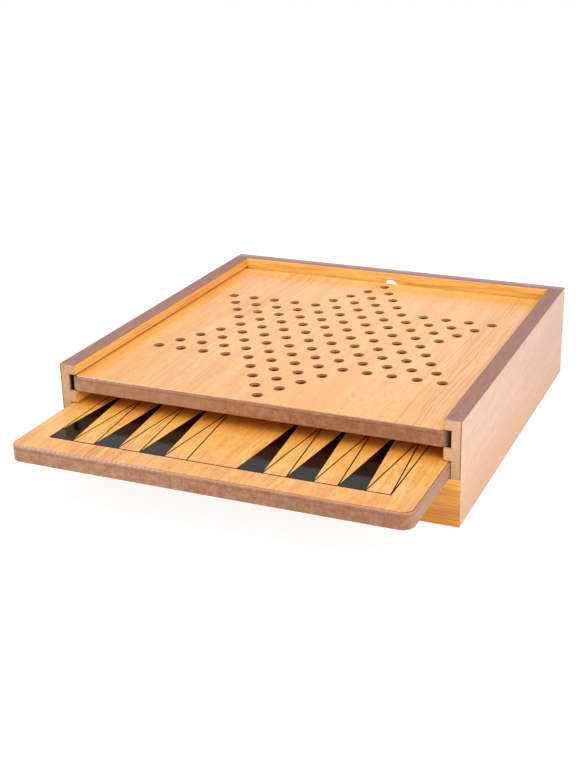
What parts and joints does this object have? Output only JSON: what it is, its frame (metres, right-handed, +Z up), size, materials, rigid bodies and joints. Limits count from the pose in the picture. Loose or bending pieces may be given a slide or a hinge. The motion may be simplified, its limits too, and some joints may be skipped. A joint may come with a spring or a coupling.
{
  "type": "games compendium box",
  "caption": "Shallow square wooden games box with two slide-out playing boards in side grooves, one drilled with a star of peg holes, over a divided well for the pieces.",
  "frame": {"origin": "middle of the case's underside, on the surface that it rests on", "axes": "+Z up, +X to the right and +Y to the back wall, seen from the open front; the boards slide out along -Y"},
  "size_m": [0.3, 0.3779, 0.076],
  "materials": {
    "case_mdf": "raw sawn fibreboard, stained mauve-brown along the top edge",
    "board_mdf": "stained and sanded fibreboard edge",
    "outer_veneer": "pale open-grain veneer, clear matt lacquer",
    "inner_veneer": "warm open-grain veneer, clear matt lacquer",
    "rail_veneer": "warm veneer with grain along the rail, clear matt lacquer",
    "star_board_veneer": "pale amber veneer, clear satin lacquer",
    "backgammon_board_veneer": "amber veneer, clear satin lacquer",
    "under_veneer": "balancing veneer, thin lacquer",
    "hardboard": "smooth pressed fibre",
    "divider_mdf": "raw fibreboard strip",
    "peg_red": "gloss paint on wood",
    "peg_yellow": "gloss paint on wood",
    "peg_green": "gloss paint on wood",
    "peg_blue": "gloss paint on wood",
    "peg_white": "gloss paint on wood",
    "peg_black": "gloss paint on wood",
    "draught_light": "clear satin lacquer on pale wood",
    "draught_dark": "dark stained wood, satin lacquer",
    "die_body": "polished ivory-coloured plastic",
    "black_ink": "satin black printing ink and paint"
  },
  "bodies": {
    "case": {"back_core": "case_mdf", "back_inner_veneer": "inner_veneer", "back_outer_veneer": "outer_veneer", "bottom_panel": "hardboard", "dice": "die_body", "dice_pip_paint": "black_ink", "draughts_dark": "draught_dark", "draughts_light": "draught_light", "front_rail_core": "case_mdf", "front_rail_inner_veneer": "inner_veneer", "front_rail_outer_veneer": "rail_veneer", "left_side_core": "case_mdf", "left_side_inner_veneer_land": "inner_veneer", "left_side_inner_veneer_rim": "inner_veneer", "left_side_inner_veneer_well": "inner_veneer", "left_side_outer_veneer": "outer_veneer", "pegs_black": "peg_black", "pegs_blue": "peg_blue", "pegs_green": "peg_green", "pegs_red": "peg_red", "pegs_white": "peg_white", "pegs_yellow": "peg_yellow", "right_side_core": "case_mdf", "right_side_inner_veneer_land": "inner_veneer", "right_side_inner_veneer_rim": "inner_veneer", "right_side_inner_veneer_well": "inner_veneer", "right_side_outer_veneer": "outer_veneer", "well_divider_cross": "divider_mdf", "well_divider_left": "divider_mdf", "well_divider_right": "divider_mdf"},
    "star_board": {"star_board_core": "board_mdf", "star_board_top_veneer": "star_board_veneer", "star_board_under_veneer": "under_veneer"},
    "backgammon_board": {"backgammon_board_core": "board_mdf", "backgammon_board_top_veneer": "backgammon_board_veneer", "backgammon_board_under_veneer": "under_veneer"}
  },
  "joints": [
    {"name": "star_board_slide", "type": "slide", "parent": "case", "child": "star_board", "axis": [0, -1, 0], "range_m": [-0.002, 0.29]},
    {"name": "backgammon_board_slide", "type": "slide", "parent": "case", "child": "backgammon_board", "axis": [0, -1, 0], "range_m": [-0.0795, 0.215]}
  ]
}
